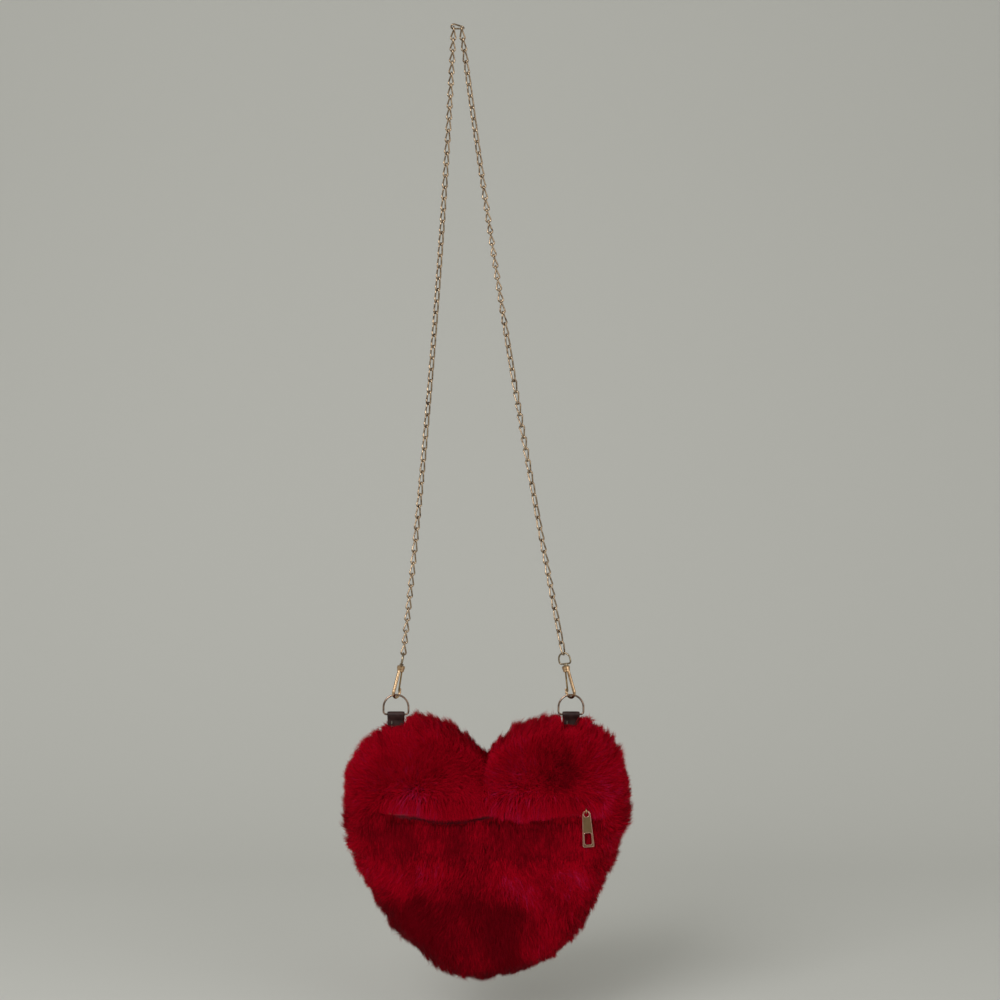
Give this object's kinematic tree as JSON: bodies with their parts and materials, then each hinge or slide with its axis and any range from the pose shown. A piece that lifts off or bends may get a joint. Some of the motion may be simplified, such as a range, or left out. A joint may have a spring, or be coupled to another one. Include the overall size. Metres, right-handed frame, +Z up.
{
  "type": "heart shaped purse",
  "caption": "Heart shaped faux fur purse with a front zip and a puller, hung by a long chain strap on swivel hooks and D-rings.",
  "frame": {"origin": "underside of the top chain link's upper wire, where a nail or a hook carries it", "axes": "+Z up, +X to the right as the zip side is seen, so that side faces -Y"},
  "size_m": [0.225, 0.0605, 0.7607],
  "materials": {
    "chain_metal": "polished antique gold",
    "clasp_metal": "polished light gold",
    "gate_metal": "polished dark gold",
    "spring_steel": "bright wire",
    "ring_metal": "polished dark bronze",
    "tab_strap": "smooth matt",
    "thread": "twisted thread",
    "fur": "long pile faux fur",
    "lining": "plain weave",
    "zip_tape": "woven tape",
    "zip_teeth": "moulded teeth",
    "zip_metal": "polished antique gold"
  },
  "bodies": {
    "hang": {"hang_link": "chain_metal"},
    "left_strap_upper": {"chain_left_upper": "chain_metal"},
    "left_strap_lower": {"chain_left_lower": "chain_metal"},
    "left_eye": {"swivel_eye_left": "clasp_metal"},
    "left_hook": {"hook_left": "clasp_metal", "gate_pin_left": "spring_steel", "gate_spring_left": "spring_steel"},
    "left_gate": {"gate_left": "gate_metal"},
    "left_ring": {"d_ring_left": "ring_metal"},
    "right_strap_upper": {"chain_right_upper": "chain_metal"},
    "right_strap_lower": {"chain_right_lower": "chain_metal"},
    "right_eye": {"swivel_eye_right": "clasp_metal"},
    "right_hook": {"hook_right": "clasp_metal", "gate_pin_right": "spring_steel", "gate_spring_right": "spring_steel"},
    "right_gate": {"gate_right": "gate_metal"},
    "right_ring": {"d_ring_right": "ring_metal"},
    "bag": {"front_fur": "fur", "back_fur": "fur", "front_lining": "lining", "back_lining": "lining", "seam_binding": "lining", "tab_left": "tab_strap", "tab_right": "tab_strap", "tab_stitching_left": "thread", "tab_stitching_right": "thread", "zip_tape_upper": "zip_tape", "zip_tape_lower": "zip_tape", "zip_teeth_upper": "zip_teeth", "zip_teeth_lower": "zip_teeth", "zip_stop_closed": "zip_metal", "zip_stop_open": "zip_metal"},
    "slider": {"zip_slider": "zip_metal"},
    "puller": {"zip_puller": "zip_metal"}
  },
  "joints": [
    {"name": "left_strap_swing", "type": "hinge", "parent": "hang", "child": "left_strap_upper", "pos_m": [-0.003, 0, -0.00213], "axis": [1, 0, 0], "range_deg": [-30, 30]},
    {"name": "left_strap_bend", "type": "hinge", "parent": "left_strap_upper", "child": "left_strap_lower", "pos_m": [-0.01877, 0, -0.24804], "axis": [1, 0, 0], "range_deg": [-20, 20]},
    {"name": "left_eye_swing", "type": "hinge", "parent": "left_strap_lower", "child": "left_eye", "pos_m": [-0.04326, 0, -0.50231], "axis": [1, 0, 0], "range_deg": [-20, 20]},
    {"name": "left_ring_swing", "type": "hinge", "parent": "left_eye", "child": "left_ring", "pos_m": [-0.0492, 0, -0.53504], "axis": [1, 0, 0], "range_deg": [-45, 45]},
    {"name": "left_hook_swivel", "type": "hinge", "parent": "left_eye", "child": "left_hook", "pos_m": [-0.04491, 0, -0.51167], "axis": [0.1736, 0, 0.9848], "range_deg": [-10, 70]},
    {"name": "left_gate_hinge", "type": "hinge", "parent": "left_hook", "child": "left_gate", "pos_m": [-0.04489, 0.00139, -0.51614], "axis": [-0.8529, 0.5, 0.1504], "range_deg": [0, 16], "stiffness_Nm_per_rad": 0.0005, "springref_deg": -20.05},
    {"name": "right_strap_swing", "type": "hinge", "parent": "hang", "child": "right_strap_upper", "pos_m": [0.003, 0, -0.00213], "axis": [1, 0, 0], "range_deg": [-30, 30]},
    {"name": "right_strap_bend", "type": "hinge", "parent": "right_strap_upper", "child": "right_strap_lower", "pos_m": [0.03919, 0, -0.24804], "axis": [1, 0, 0], "range_deg": [-20, 20]},
    {"name": "right_eye_swing", "type": "hinge", "parent": "right_strap_lower", "child": "right_eye", "pos_m": [0.08486, 0, -0.50231], "axis": [1, 0, 0], "range_deg": [-20, 20]},
    {"name": "right_ring_swing", "type": "hinge", "parent": "right_eye", "child": "right_ring", "pos_m": [0.0908, 0, -0.53504], "axis": [1, 0, 0], "range_deg": [-45, 45]},
    {"name": "right_hook_swivel", "type": "hinge", "parent": "right_eye", "child": "right_hook", "pos_m": [0.08651, 0, -0.51167], "axis": [-0.1736, 0, 0.9848], "range_deg": [-80, 0]},
    {"name": "right_gate_hinge", "type": "hinge", "parent": "right_hook", "child": "right_gate", "pos_m": [0.08622, 0.00119, -0.51618], "axis": [-0.7319, -0.6691, -0.129], "range_deg": [0, 16], "stiffness_Nm_per_rad": 0.0005, "springref_deg": -20.05},
    {"name": "bag_swing", "type": "hinge", "parent": "left_ring", "child": "bag", "pos_m": [-0.0492, 0, -0.55064], "axis": [1, 0, 0], "range_deg": [-45, 45]},
    {"name": "zip_slide", "type": "slide", "parent": "bag", "child": "slider", "axis": [-1, 0, 0], "range_m": [0, 0.146]},
    {"name": "puller_lift", "type": "hinge", "parent": "slider", "child": "puller", "pos_m": [0.1012, -0.0302, -0.62186], "axis": [-1, 0, 0], "range_deg": [0, 150]}
  ],
  "couplings": [
    {"joint": "right_strap_swing", "follows": "left_strap_swing", "ratio": 1},
    {"joint": "right_strap_bend", "follows": "left_strap_bend", "ratio": 1},
    {"joint": "right_eye_swing", "follows": "left_eye_swing", "ratio": 1},
    {"joint": "right_ring_swing", "follows": "left_ring_swing", "ratio": 1}
  ]
}
